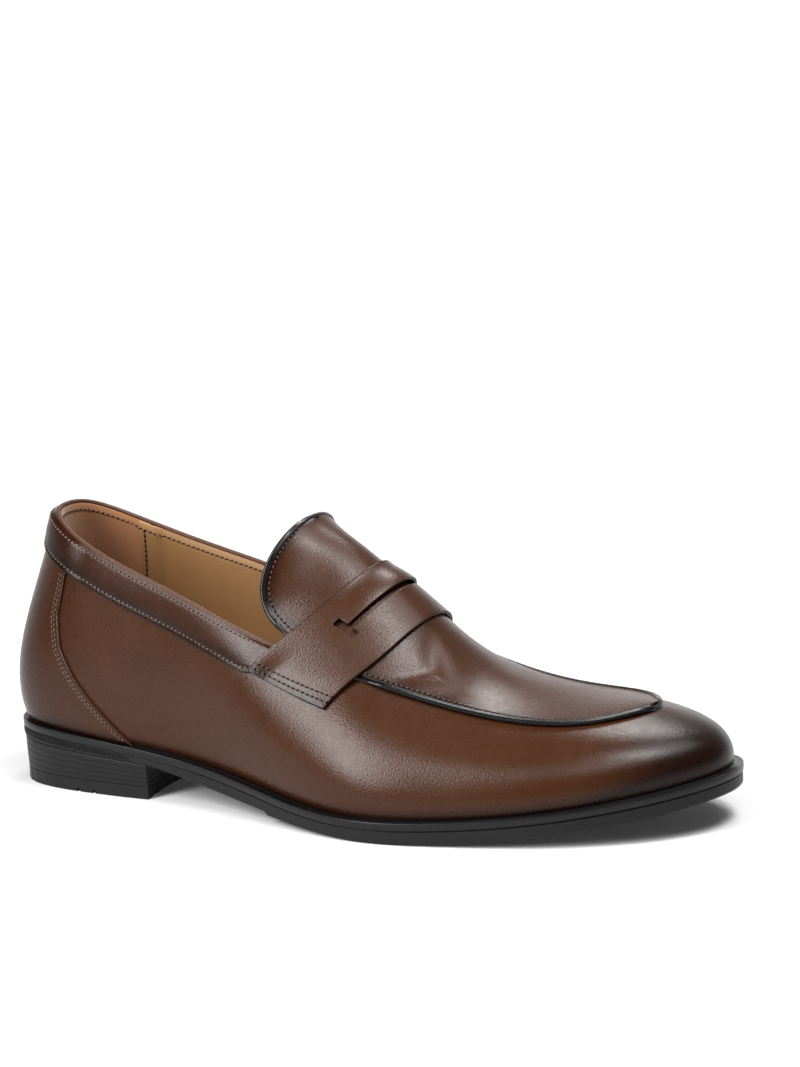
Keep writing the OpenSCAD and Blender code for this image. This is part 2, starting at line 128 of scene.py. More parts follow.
class Finish:
    """One material; node() adds any node, its settings first and then its sockets."""

    def __init__(self, name, roughness=0.5, **constants):
        self.material = bpy.data.materials.new(name)
        self.material.use_nodes = True
        self.tree = self.material.node_tree
        self.shader = self.tree.nodes["Principled BSDF"]
        self.set(Roughness=roughness, **constants)
        self.coords = self.node("ShaderNodeTexCoord", output="Object")

    def feed(self, socket, value):
        if isinstance(value, Tone):
            self.tree.links.new(value.socket, socket)
        else:
            socket.default_value = (*value, 1) if socket.type == "RGBA" else value

    def node(self, kind, settings=None, values=None, output=0):
        made = self.tree.nodes.new(kind)
        for key, value in (settings or {}).items():
            setattr(made, key, value)
        for key, value in (values or {}).items():
            self.feed(made.inputs[key], value)
        return Tone(self, made.outputs[output])

    def set(self, **sockets):
        for key, value in sockets.items():
            self.feed(self.shader.inputs[key.replace("_", " ")], value)
        return self

    def noise(self, scale, detail=2.0, coords=None, roughness=0.5):
        values = {"Vector": coords or self.coords, "Scale": scale, "Detail": detail, "Roughness": roughness}
        return self.node("ShaderNodeTexNoise", {}, values)

    def cells(self, scale, output="Distance"):
        return self.node("ShaderNodeTexVoronoi", {}, {"Vector": self.coords, "Scale": scale}, output)

    def twist(self, scale, distortion):
        """Slanting bands, as on the strands of a thread or cord."""
        values = {"Vector": self.coords, "Scale": scale, "Distortion": distortion}
        return self.node("ShaderNodeTexWave", {"bands_direction": "DIAGONAL"}, values)

    def place(self, axis):
        return self.node("ShaderNodeSeparateXYZ", {}, {0: self.coords}, axis)

    def stored(self, name):
        return self.node("ShaderNodeAttribute", {"attribute_name": name}, {}, "Fac")

    def stretched(self, x, y, z):
        return self.node("ShaderNodeMapping", {}, {"Vector": self.coords, "Scale": (x, y, z)})

    def mix(self, factor, a, b):
        """Colour a where factor is 0, b where it is 1."""
        return self.node("ShaderNodeMix", {"data_type": "RGBA"}, {"Factor": factor, 6: a, 7: b}, 2)

    def bump(self, height, strength, distance):
        values = {"Height": height, "Strength": strength, "Distance": distance}
        return self.set(Normal=self.node("ShaderNodeBump", {}, values))


def shaded(colour, share):
    return tuple(c * share for c in colour)


def burnished_leather(name, mid, deep, warm, polish=0.285, heel=0.6, edges=0.4):
    """Smooth box calf: rubbed darker at the toe, the heel and along every cut edge, and darker on the lowest
    9 mm of the wall above the welt.
    """
    f = Finish(name, Specular_IOR_Level=0.2)
    along, clouds, mottle, soft = f.place(0), f.noise(26, 3), f.noise(140, 3), f.noise(300, 3)
    ends_rub = along.ramp(0.215, 0.255) + (1 - along.ramp(-0.034, 0.02)) * heel
    # darker on the lowest 9 mm of the wall, just above the welt
    low_wall_dark = (1 - f.stored("rise").ramp(0.0, 9.0)) * 0.8
    edge_rub = (1 - f.stored("rim").ramp(0.1, 2.2)) * edges
    dark = ends_rub * (clouds * 0.7 + 0.65) + low_wall_dark + edge_rub + (clouds - 0.5) * 0.5
    warmth = clouds * 1.6 - 0.3 + (mottle - 0.5) * 0.5
    f.set(Base_Color=f.mix(dark.clamped(), f.mix(warmth.clamped(), mid, warm), deep),
          Roughness=(clouds - 0.5) * 0.1 + (soft - 0.5) * 0.12 + (mottle - 0.5) * 0.06 + polish)
    f.bump(f.cells(1400) * 0.9 + f.noise(2600, 2) * 0.5, 0.5, 0.0001)
    return f.material


def cut_edge(name, colour, roughness=0.5, shine=0.2):
    """The painted or raw edge of cut leather, with its fibres just showing."""
    f = Finish(name, Specular_IOR_Level=shine)
    fibre = f.noise(900, 3, f.stretched(1, 1, 3))
    f.set(Base_Color=f.mix(fibre, shaded(colour, 0.7), shaded(colour, 1.25)),
          Roughness=fibre * 0.2 + (roughness - 0.1)).bump(fibre, 0.4, 0.0001)
    return f.material


def lining_leather(name, colour, deep, roughness=0.55):
    """Vegetable-tanned lining: open pores, faint creases, and painted shade that makes it a little darker low
    down inside.
    """
    f = Finish(name, Specular_IOR_Level=0.4)
    clouds, pores = f.noise(30, 4), f.cells(1100)
    creases = f.noise(90, 4, f.stretched(1, 3, 2.2), 0.6)
    # clouds are the lining's own mottle; the darkening below 3 to 8 cm up is painted shade deep inside the
    # shoe
    shade = (clouds * 0.9 - 0.15 + (1 - f.place(2).ramp(0.03, 0.08)) * 0.35).clamped()
    f.set(Base_Color=f.mix(shade, colour, deep), Roughness=(clouds - 0.5) * 0.15 + roughness)
    f.bump(pores * 0.25 + creases * 1.1 + f.noise(700, 3) * 0.35, 0.45, 0.00022)
    return f.material


def suede(name, colour, deep):
    """The napped heel grip, its pile lying lighter and darker in patches."""
    f = Finish(name, roughness=0.9, Sheen_Weight=0.35, Sheen_Roughness=0.5, Specular_IOR_Level=0.2)
    nap, clouds = f.noise(1800, 4), f.noise(60, 3)
    pile = (nap * 0.5 + clouds * 0.6 - 0.1).clamped()
    f.set(Base_Color=f.mix(pile, deep, colour), Roughness=nap * 0.1 + 0.82)
    f.bump(nap, 0.6, 0.0002)
    return f.material


def corded_piping(name):
    """Black piping: waxed, with the faint spiral of the cord inside."""
    f = Finish(name, Specular_IOR_Level=0.25)
    wax = f.noise(300, 3)
    f.set(Base_Color=f.mix(wax, (0.0025, 0.002, 0.002), (0.006, 0.005, 0.005)), Roughness=wax * 0.2 + 0.12)
    f.bump(f.twist(260.0, 1.5) * 0.4 + wax, 0.3, 0.0001)
    return f.material


def moulded_rubber(name, colour, roughness, gloss=0.0):
    """Sole unit: satin rubber with the mould's fine bloom and scattered dust."""
    f = Finish(name, Specular_IOR_Level=0.2, Coat_Weight=gloss, Coat_Roughness=0.25)
    bloom, grit = f.noise(35, 4), f.noise(1500, 3)
    long_marks = f.noise(200, 3, f.stretched(0.15, 0.15, 3))
    dust = (bloom * 0.8 + long_marks * 0.5 - 0.2).clamped()
    f.set(Base_Color=f.mix(dust, colour, shaded(colour, 1.7)),
          Roughness=(bloom - 0.5) * 0.12 + (long_marks - 0.5) * 0.1 + roughness)
    f.bump(grit * 0.5 + long_marks * 0.5, 0.3, 0.0001)
    return f.material


def thread(name, colour):
    f = Finish(name)
    ply = f.twist(900.0, 0.6)
    f.set(Base_Color=f.mix(ply, shaded(colour, 0.55), colour), Roughness=ply * 0.15 + 0.5)
    f.bump(ply, 0.5, 0.0001)
    return f.material


def cork(name):
    f = Finish(name, roughness=0.85)
    tint = f.node("ShaderNodeSeparateColor", {}, {0: f.cells(420, "Color")})
    f.set(Base_Color=f.mix(tint, (0.24, 0.13, 0.06), (0.5, 0.33, 0.17)), Roughness=tint * 0.1 + 0.8)
    f.bump(f.cells(420), 0.5, 0.0004)
    return f.material


def pressed_board(name, colour, scale=500.0):
    f = Finish(name, roughness=0.8)
    fibre = f.noise(scale, 5, f.stretched(1, 3, 1), 0.7)
    f.set(Base_Color=f.mix(fibre, shaded(colour, 0.7), colour), Roughness=fibre * 0.2 + 0.68)
    f.bump(fibre, 0.4, 0.0002)
    return f.material


def brushed_steel(name):
    f = Finish(name, Metallic=1.0)
    strokes = f.noise(60, 4, f.stretched(0.4, 30, 30))
    f.set(Base_Color=f.mix(strokes, (0.42, 0.42, 0.43), (0.6, 0.6, 0.61)), Roughness=strokes * 0.25 + 0.25)
    f.bump(strokes, 0.2, 0.00005)
    return f.material


def paper_floor(name):
    """Pale paper; the far parts of the sweep glow a little, as a lit backdrop does."""
    f = Finish(name, roughness=0.9, Specular_IOR_Level=0.1, Emission_Strength=0.7)
    away = f.place(0) * -sin(radians(VIEW_AZIMUTH)) + f.place(1) * cos(radians(VIEW_AZIMUTH))
    reach = f.node("ShaderNodeVectorMath", {"operation": "LENGTH"}, {0: f.coords}, "Value")
    behind = away.ramp(0.25, 1.5) * (1 - f.place(2).ramp(0.35, 0.8))
    elsewhere = (1 - away.ramp(0.0, 0.8)) * reach.ramp(0.9, 2.3)
    f.set(Base_Color=f.mix(f.noise(3, 2), (0.55, 0.55, 0.55), (0.59, 0.59, 0.59)),
          Emission_Color=f.mix((behind + elsewhere).clamped(), (0.04, 0.04, 0.04), (1, 1, 1)))
    return f.material


upper = burnished_leather("upper_leather", (0.03, 0.0092, 0.003), (0.0065, 0.0015, 0.0004),
                          (0.041, 0.0134, 0.0044))
collar = burnished_leather("collar_leather", (0.021, 0.006, 0.002), (0.004, 0.0009, 0.0003),
                           (0.029, 0.0088, 0.003), heel=1.1, edges=0.15)
# the topline bead is a real edge, but its leather is made lighter than the upper as painted highlight along
# the topline
binding = burnished_leather("binding_leather", (0.062, 0.024, 0.012), (0.026, 0.0085, 0.004),
                            (0.085, 0.035, 0.019), polish=0.38)
edge_paint = cut_edge("dark_edge", (0.009, 0.0038, 0.0024))
raw_edge = cut_edge("turned_edge", (0.035, 0.013, 0.006), 0.6)
flesh_side = cut_edge("flesh_side", (0.2, 0.12, 0.06), 0.75)
tan = lining_leather("tan_lining", (0.245, 0.128, 0.05), (0.155, 0.073, 0.024))
tan_strip = lining_leather("tan_strip", (0.34, 0.195, 0.09), (0.24, 0.13, 0.052), 0.6)
grip = suede("heel_grip_suede", (0.33, 0.148, 0.064), (0.2, 0.083, 0.034))
black_piping = corded_piping("black_piping")
rubber = moulded_rubber("sole_rubber", (0.0052, 0.0049, 0.0051), 0.46)
welt_rubber = moulded_rubber("welt_rubber", (0.0042, 0.0037, 0.0039), 0.34, gloss=0.1)
dark_thread = thread("dark_thread", (0.065, 0.023, 0.012))
brown_thread = thread("brown_thread", (0.12, 0.06, 0.034))
# needle holes: flat dark discs of painted shade, standing in for the shade inside each hole
needle_hole_shade = cut_edge("needle_hole_shade", (0.004, 0.0015, 0.001), 0.9, shine=0.03)


# ---- the shoe's curves, in millimetres from the back of the upper's bottom edge ----
# heel to toe: x, centre line y, z, handle length, flare; then the half widths
FEATHER = np.array([[2, 0, 25, 26, 22], [5, 0, 25, 26, 21], [26, 0, 24, 26, 17], [54, 0, 21.5, 24, 14],
    [84, -1, 18.5, 22, 15], [114, -3, 14, 20, 21], [144, -6, 9.5, 18, 21], [174, -8, 8, 17, 19],
    [204, -4.5, 9, 16, 15], [233, -1, 11.5, 15, 12], [261, 3, 15.5, 14, 9], [286, 7, 20, 14, 7],
    [299.5, 8, 22.5, 14, 5]])
FEATHER_W = np.array([0, 22, 30, 32, 32, 36, 45, 51.5, 49.5, 46.5, 39.5, 25.5, 0])
# the same for the top edge, with the lean of the leather there in place of the flare
TOPLINE = np.array([[16.5, 0, 108.5, 32, 13], [19.5, 0, 107.5, 32, 13], [36, 0, 99, 30, 11],
    [60, 0, 90, 28, 9], [85, 0, 82.5, 26, 8], [108, -1, 74.5, 22, 14], [130, -1, 66.5, 20, 25],
    [158, 0, 57.5, 18, 40], [184, 1, 49.5, 16, 52], [210, 3, 42.5, 16, 60], [234, 5, 40, 16, 66],
    [253, 7, 40.5, 16, 72], [272, 8, 43, 17, 76]])
TOPLINE_W = np.array([0, 14, 23.5, 28, 32, 36, 37, 36, 33, 30.5, 29, 24.5, 0])
# apron and tongue, tongue top to apron tip: edge x, edge z, ridge x, ridge z, centre line y
PLUG = np.array([[129, 108, 129, 108, 0], [127.5, 106, 131, 106, 0], [122.5, 96, 136, 103, 0],
    [120.5, 85.5, 142, 99.5, 0], [124, 76, 149, 95, 0], [134, 69.5, 158, 88.2, 0],
    [146, 62.5, 168, 80.2, 0], [162, 56.5, 180, 69.5, 0], [184, 49.5, 194, 56, 1],
    [210, 42.5, 214, 46, 3], [234, 40, 236, 42.3, 5], [253, 40.5, 254.5, 42.5, 7],
    [272, 43, 272, 43, 8]])
PLUG_W = np.array([0, 16, 25, 28, 30.5, 33.5, 36, 36, 33, 30.5, 29, 24.5, 0])
# height of the sole's underside, every 40 mm
UNDER_Z = np.array([17.5, 13.4, 4.5, 1, -0.8, 2.8, 7.8, 16])
# front edge of the counter panel: how far up the wall, and how far round from the heel
SEAM_V = [0, 0.15, 0.3, 0.45, 0.6, 0.8, 1]
SEAM_S = [3.28, 2.84, 2.4, 2.02, 1.82, 1.78, 1.85]
# s at the toe, and once round the shoe
TOE, ROUND = 12, 24
# thicknesses, heights and places along the shoe, in millimetres; the frame's origin is at HEEL_MID
HEEL_MID = 34.0
UPPER_T, LINING_T, GAP = 1.3, 1.0, 0.05
BAND_H, STRAP_T, BOW = 15.0, 1.5, 1.6
REACH, WELT_T, LIFT_T = 3.5, 3.0, 5.0
WEDGE_H, BOARD_T, SOCK_T = 26.0, 2.2, 1.6
WEDGE_FRONT, WEDGE_END = 132, 30
BREAST_X, TREAD_X, TREAD_STEP = 69.0, 129.0, 1.1
RIB_DEPTH, RIB_PITCH = 0.2, 0.92
COLLAR_SEW_TOP, COLLAR_SEW_LOW = 2.3, 1.8
APRON_SEW_IN, STITCH_ARCH = 2.6, 0.22
# samples up the wall, the sharpest angle that is shaded smooth, and a rise that the darkening above the welt
# doesn't reach
WALL_STEPS, CREASE_ANGLE, CLEAR_OF_WELT = 41, 35, 20.0


def curve(stations, s, ends="mirror"):
    """Smooth curve by its stations; past the ends it mirrors, flips or runs straight on."""
    c = np.asarray(stations, float)
    before, after = {"mirror": (c[1], c[-2]), "flip": (-c[1], -c[-2]),
                     "straight": (2 * c[0] - c[1], 2 * c[-1] - c[-2])}[ends]
    e = np.concatenate([[before], c, [after]])
    s = np.asarray(s, float)
    i = np.clip(np.floor(s).astype(int), 0, len(c) - 2)
    t = s - i
    if c.ndim > 1:
        t = t[..., None]
    return ((1 - t) ** 3 * e[i] + (3 * t ** 3 - 6 * t * t + 4) * e[i + 1]
            + (-3 * t ** 3 + 3 * t * t + 3 * t + 1) * e[i + 2] + t ** 3 * e[i + 3]) / 6


def unit(a):
    return a / np.linalg.norm(a, axis=-1, keepdims=True)


def ease(x):
    c = np.clip(x, 0, 1)
    return c * c * (3 - 2 * c)


def arc(points, axis):
    """Length run along an axis of a grid of points."""
    d = np.linalg.norm(np.diff(points, axis=axis), axis=-1)
    return np.concatenate([np.zeros_like(np.take(d, [0], axis)), np.cumsum(d, axis)], axis)


def fold(s):
    """How far round from the heel, the same on both sides."""
    turn = np.mod(s, ROUND)
    return np.minimum(turn, ROUND - turn)


def edge(stations, widths, s):
    h = fold(s)
    p = curve(stations, h)
    p[..., 1] += np.where(np.mod(s, ROUND) > TOE, 1, -1) * curve(widths, h, "flip")
    return p


def foot_edge(s):
    return edge(FEATHER, FEATHER_W, s)


def outward(s):
    d = (foot_edge(s + 0.02) - foot_edge(s - 0.02))[..., :3]
    return unit(np.stack([d[..., 1], -d[..., 0], 0 * d[..., 0]], -1))


def wall(s, v):
    """Outer face of the wall: s turns heel, outer side, toe, inner side; v rises from the welt."""
    s, v = np.broadcast_arrays(np.asarray(s, float), np.asarray(v, float))
    f, a, o, up = foot_edge(s), edge(TOPLINE, TOPLINE_W, s), outward(s), np.array([0, 0, 1.0])
    flare, lean = np.radians(f[..., 4:5]), np.radians(a[..., 4:5])
    p, q = f[..., :3], a[..., :3]
    p1 = p + f[..., 3:4] * (up * np.cos(flare) + o * np.sin(flare))
    q1 = q + a[..., 3:4] * (o * np.sin(lean) - up * np.cos(lean))
    v = v[..., None]
    return (1 - v) ** 3 * p + 3 * (1 - v) ** 2 * v * p1 + 3 * (1 - v) * v * v * q1 + v ** 3 * q


def wall_n(s, v):
    s, v = np.broadcast_arrays(np.asarray(s, float), np.asarray(v, float))
    return unit(np.cross(wall(s + 0.05, v) - wall(s - 0.05, v), wall(s, v + 0.01) - wall(s, v - 0.01)))


def drop(s, distance):
    """v at a distance below the top edge, measured over the wall."""
    s = np.asarray(s, float)
    vs = np.linspace(1, 0.4, WALL_STEPS)
    run = arc(wall(s[..., None], vs), s.ndim)
    d = np.broadcast_to(distance, s.shape)
    out = [np.interp(b, a, vs) for a, b in zip(run.reshape(-1, WALL_STEPS), d.ravel())]
    return np.array(out).reshape(s.shape)


def level(s, z):
    """v where the wall is at height z."""
    vs = np.linspace(0, 1, WALL_STEPS)
    heights = wall(np.asarray(s, float)[..., None], vs)[..., 2]
    return np.array([np.interp(b, a, vs) for a, b in zip(heights, z)])


def crown(j, t):
    """Outer face of the apron and tongue: j runs tongue top to apron tip, t side to side."""
    j, t = np.broadcast_arrays(np.asarray(j, float), np.asarray(t, float))
    a, w, k = curve(PLUG, j), curve(PLUG_W, j, "flip"), 1 - t * t
    x = a[..., 0] + (a[..., 2] - a[..., 0]) * k
    z = a[..., 1] + (a[..., 3] - a[..., 1]) * k
    return np.stack([x, a[..., 4] + t * w, z], -1)


def crown_n(j, t):
    j, t = np.broadcast_arrays(np.asarray(j, float), np.asarray(t, float))
    return unit(np.cross(crown(j + 0.04, t) - crown(j - 0.04, t), crown(j, t + 0.02) - crown(j, t - 0.02)))


def under(x):
    """Height of the sole's underside; under the heel it is the face that the heel is stuck to."""
    return np.where(x < BREAST_X, 18 - 0.06 * x,
                    curve(UNDER_Z, (x - 30) / 40, "straight") + np.where(x < TREAD_X, TREAD_STEP, 0))


# ---- building pieces ----
def make_mesh(name, points, faces, materials, picks=None, crease=CREASE_ANGLE, **stored):
    """One piece; picks names each face's material, and stored values are kept at each point."""
    mesh = bpy.data.meshes.new(name)
    points = (np.asarray(points, float).reshape(-1, 3) - [HEEL_MID, 0, 0]) * MM
    mesh.from_pydata(points.tolist(), [], [list(map(int, f)) for f in faces])
    for material in materials:
        mesh.materials.append(material)
    if picks is not None:
        mesh.polygons.foreach_set("material_index", np.asarray(picks, np.int32))
    for key, values in stored.items():
        layer = mesh.attributes.new(key, "FLOAT", "POINT")
        layer.data.foreach_set("value", np.asarray(values, np.float32).ravel())
    mesh.shade_smooth()
    if crease:
        mesh.set_sharp_from_angle(angle=radians(crease))
    mesh.update()
    piece = bpy.data.objects.new(name, mesh)
    scene.collection.objects.link(piece)
    return piece


def settle(piece):
    """Applies a piece's modifiers for good."""
    graph = bpy.context.evaluated_depsgraph_get()
    graph.update()
    mesh = bpy.data.meshes.new_from_object(piece.evaluated_get(graph))
    piece.modifiers.clear()
    old, piece.data = piece.data, mesh
    bpy.data.meshes.remove(old)
    return piece


def keep(piece, node):
    """Puts a finished piece on the shoe in place of its CAD node."""
    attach(piece, "root")
    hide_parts(node)
    return piece


def leather_sheet(name, p, n, low, high, materials, holes=(), bevel=0.3):
    """A sheet of leather on a grid of points and normals, its cut edges closed and eased."""
    rows, cols = p.shape[:2]
    low = np.broadcast_to(low, (rows, cols))[..., None]
    high = np.broadcast_to(high, (rows, cols))[..., None]
    points = np.concatenate([(p + n * high).reshape(-1, 3), (p + n * low).reshape(-1, 3)])
    there = np.zeros((rows + 1, cols + 1), bool)
    there[1:rows, 1:cols] = True
    for i0, i1, j0, j1 in holes:
        there[i0 + 1:i1 + 1, j0 + 1:j1 + 1] = False
    lower = rows * cols
    faces, picks = [], []
    for i in range(rows - 1):
        for j in range(cols - 1):
            if not there[i + 1, j + 1]:
                continue
            a, b, c, d = i * cols + j, i * cols + j + 1, (i + 1) * cols + j + 1, (i + 1) * cols + j
            faces += [(d, c, b, a), (lower + a, lower + b, lower + c, lower + d)]
            picks += [0, 2]
            for open_side, x, y in ((not there[i, j + 1], a, b), (not there[i + 1, j + 2], b, c),
                                    (not there[i + 2, j + 1], c, d), (not there[i + 1, j], d, a)):
                if open_side:
                    faces.append((x, y, lower + y, lower + x))
                    picks.append(1)
    run_u, run_v = arc(p, 0), arc(p, 1)
    rim = np.minimum(np.minimum(run_u, run_u[-1:] - run_u), np.minimum(run_v, run_v[:, -1:] - run_v))
    piece = make_mesh(name, points, faces, materials, picks, crease=0,
                      rim=np.tile(rim.ravel(), 2), rise=np.tile(run_v.ravel(), 2))
    round_over = piece.modifiers.new("eased_edge", "BEVEL")
    round_over.width, round_over.segments = bevel * MM, 2
    round_over.limit_method, round_over.angle_limit = "ANGLE", radians(55)
    settle(piece)
    piece.data.shade_smooth()
    piece.data.set_sharp_from_angle(angle=radians(CREASE_ANGLE))
    return piece


def wall_sheet(name, s, v, low, high, materials, swell=0.0, **more):
    p, n = wall(s, v), wall_n(s, v)
    p = p + n * np.broadcast_to(swell, p.shape[:2])[..., None]
    return leather_sheet(name, p, n, low, high, materials, **more)


def round_bar(name, path, normals, radius, material, sides=14, closed=False, flat=1.0, cleft=0.0):
    """A bead along a path; cleft pinches it into two cords lying side by side."""
    n = len(path)
    if closed:
        ahead, behind = np.roll(path, -1, 0), np.roll(path, 1, 0)
    else:
        ahead, behind = np.vstack([path[1:], path[-1:]]), np.vstack([path[:1], path[:-1]])
    t = unit(ahead - behind)
    u = unit(normals - t * np.sum(normals * t, -1, keepdims=True))
    w = np.cross(t, u)
    a = np.arange(sides) * 2 * pi / sides
    pinch = (1 - cleft * (1 - abs(np.sin(a))) ** 1.5)[:, None]
    spokes = np.cos(a)[:, None] * u[:, None] * flat + np.sin(a)[:, None] * w[:, None]
    rings = path[:, None] + np.broadcast_to(radius, n)[:, None, None] * pinch * spokes
    faces = []
    for i in range(n if closed else n - 1):
        here, there = i * sides, (i + 1) % n * sides
        for k in range(sides):
            turn = (k + 1) % sides
            faces.append((here + turn, there + turn, there + k, here + k))
    if not closed:
        faces += [tuple(range(sides))[::-1], tuple((n - 1) * sides + k for k in range(sides))]
    count = n * sides
    return make_mesh(name, rings, faces, [material], crease=60,
                     rise=np.full(count, CLEAR_OF_WELT), rim=np.full(count, 1.4))


def stack_rings(name, rings, material, hollow=False, fan=False, crease=CREASE_ANGLE):
    """Rings from the bottom up, closed on themselves, or capped by fans or by strips side to side."""
    rings = np.asarray(rings, float)
    levels, n = rings.shape[:2]
    faces = []
    for k in range(levels if hollow else levels - 1):
        here, above = k * n, (k + 1) % levels * n
        for i in range(n):
            turn = (i + 1) % n
            faces.append((here + i, here + turn, above + turn, above + i))
    points = rings.reshape(-1, 3)
    top = (levels - 1) * n
    if fan:
        points = np.vstack([points, rings[0].mean(0), rings[-1].mean(0)])
        for i in range(n):
            turn = (i + 1) % n
            faces += [(levels * n, turn, i), (levels * n + 1, top + i, top + turn)]
    elif not hollow:
        for i in range(n // 2 - 1):
            faces += [(i, n - 1 - i, n - 2 - i, i + 1),
                      (top + i, top + i + 1, top + n - 2 - i, top + n - 1 - i)]
    count = len(points)
    return make_mesh(name, points, faces, [material], crease=crease,
                     rise=np.full(count, CLEAR_OF_WELT), rim=np.full(count, 5.0))


def both(s):
    """Stations on the outer side, then the same on the inner side back to the heel."""
    s = np.asarray(s, float)
    return np.concatenate([s, ROUND - s[::-1]])


def welt_line(s, out, up):
    f, o = foot_edge(s), outward(s)
    return np.stack([f[:, 0] + o[:, 0] * out, f[:, 1] + o[:, 1] * out, f[:, 2] + up], -1)


def tread_line(s, out, up):
    p = welt_line(s, out, 0)
    p[:, 2] = under(p[:, 0]) + up
    return p


AROUND = both((np.arange(220) + 0.5) * TOE / 220)


# ---- sole unit ----
def make_outsole():
    """The sole unit, its side combed with fine ribs round the heel seat."""
    ribbed = np.arange(0.02, 3.36, 0.0085)
    plain = [np.arange(3.38, 5.5, 0.06), [5.5, 5.512], np.arange(5.56, 11.99, 0.05)]
    ss = both(np.concatenate([ribbed] + plain))
    side, turn = REACH - 0.3, fold(ss)
    run = arc(welt_line(ss, side, 0)[:, None], 0)[:, 0]
    comb = RIB_DEPTH * (1 - ease((turn - 3.2) / 0.1)) * ease((turn - 0.3) / 0.1)
    comb = comb * np.sign(np.sin(run * 2 * pi / RIB_PITCH))
    rings = [tread_line(ss, side - inset, up) for inset, up in ((1.1, 0), (0.5, 0.15), (0.12, 0.5), (0, 1.0))]
    top = welt_line(ss, side, 0)[:, 2] - WELT_T - 0.5
    room = np.minimum(top - rings[-1][:, 2], 4.6) / 4.6
    for fall, share in ((4.4, 0), (4.1, 0), (4.0, 1), (0.35, 1), (0.25, 0)):
        p = welt_line(ss, side + comb * share, 0)
        p[:, 2] = top - fall * room
        rings.append(p)
    for inset, fall in ((0.05, 0.5), (0.45, 0.36), (0.6, GAP)):
        rings.append(welt_line(ss, side - inset, -WELT_T - fall))
    return keep(stack_rings("outsole_unit", rings, rubber, crease=30), "outsole")


def heel_ring(out, share):
    """Outline of the heel at a share of its height: round the back, then along the hollow breast."""
    count, across = 90, 30
    s = (np.arange(count) + 0.5) * 3.3 / count
    p = welt_line(s, out, 0)
    back = np.stack([np.minimum(p[:, 0], BREAST_X - 1), p[:, 1]], -1)
    w = -back[-1, 1]
    y = -w + w * np.arange(across) / across
    half = np.vstack([back, np.stack([BREAST_X - 4 * (1 - (y / w) ** 2), y], -1)])
    ring = np.vstack([half, half[::-1] * [1, -1]])
    z = LIFT_T + GAP + share * (under(ring[:, 0]) - LIFT_T - 2 * GAP)
    return np.column_stack([ring, z])


def make_heel():
    """The heel block with its four lines, where real lifts would meet."""
    profile = [(0.0, -0.3), (0.02, -0.08), (0.05, 0)]
    for line in (0.2, 0.4, 0.6, 0.8):
        profile += [(line - 0.012, 0), (line - 0.003, -0.14), (line + 0.003, -0.14), (line + 0.012, 0)]
    profile += [(0.97, 0), (1.0, -0.2)]
    rings = [heel_ring(REACH - 1.2 + 0.6 * share + cut, share) for share, cut in profile]
    return keep(stack_rings("heel_stack", rings, rubber, fan=True, crease=30), "heel_block")


def make_welt():
    o = REACH
    profile = [(-5, -WELT_T), (o - 0.45, -WELT_T), (o - 0.1, -WELT_T + 0.1), (o, -WELT_T + 0.3),
               (o, -0.35), (o - 0.1, -0.12), (o - 0.35, -GAP), (o - 0.95, -0.12), (o - 1.15, -0.34),
               (0.5, -0.4), (0, -GAP), (-5, -GAP)]
    rings = [welt_line(AROUND, out, up) for out, up in profile]
    return keep(stack_rings("welt_strip", rings, welt_rubber, hollow=True, crease=50), "welt")


# ---- foot bed ----
def bed(x):
    """Height of the foot bed over the bottom edge of the upper: board and heel wedge."""
    slope = (1 + np.cos(pi * (x - WEDGE_END) / (WEDGE_FRONT - WEDGE_END))) / 2
    return BOARD_T + GAP + WEDGE_H * np.where(x < WEDGE_END, 1, np.where(x > WEDGE_FRONT, 0, slope))


def bed_ring(s, inset, up):
    f = foot_edge(s)
    z = f[:, 2] + bed(f[:, 0]) + up
    v = level(s, z)
    p = wall(s, v) - wall_n(s, v) * (UPPER_T + LINING_T + inset)
    p[:, 2] = z
    return p


def make_sock_liner():
    profile = ((1.1, GAP), (1.1, SOCK_T - 0.3), (1.3, SOCK_T), (1.8, GAP + SOCK_T))
    rings = [bed_ring(AROUND, inset, up) for inset, up in profile]
    return keep(stack_rings("sock_liner_leather", rings, tan), "sock_liner")


# ---- upper ----
def seam_at(v):
    """How far round the counter panel's front edge lies at v."""
    return np.interp(v, SEAM_V, SEAM_S)


def make_vamp():
    i = np.linspace(0, 1, 330)[:, None]
    j = np.linspace(0, 1, 60)[None, :]
    a = seam_at(j) - 0.3
    s = a + (ROUND - 2 * a) * i
    top = s[:, 30]
    v = drop(top, 2 - 1.5 * ease((fold(top) - 6.4) / 0.5))[:, None] * j
    piece = wall_sheet("vamp_leather", s, v, -UPPER_T, 0, [upper, edge_paint, flesh_side])
    return keep(piece, "vamp")


def make_counter():
    i = np.linspace(-1, 1, 150)[:, None]
    j = np.linspace(0, 1, 60)[None, :]
    s = seam_at(j * 0.83) * i
    v = drop(s[:, 30], band_depth(s[:, 30]) - 3)[:, None] * j
    piece = wall_sheet("counter_leather", s, v, GAP, UPPER_T, [upper, raw_edge, flesh_side], bevel=0.4)
    return keep(piece, "heel_counter_panel")


def band_depth(s):
    """Height of the collar band, a little narrower round the back."""
    return BAND_H - 3 * (1 - ease(fold(s) / 1.6))


def band_lift(s):
    """How far the band stands off the wall: over the counter panel it is one leather further out."""
    return GAP + UPPER_T * (1 - ease((fold(s) - 1.75) / 0.5))


def band_low(s):
    """Where the band's lower edge runs; its ends tuck in under the strap."""
    return band_depth(s) - 2.0 * ease((fold(s) - 5.45) / 0.3)


def roll_in(fall):
    """How far a sheet turns toward the topline bead in its last few millimetres."""
    return 1 - ease((fall - 0.5) / 2.0)


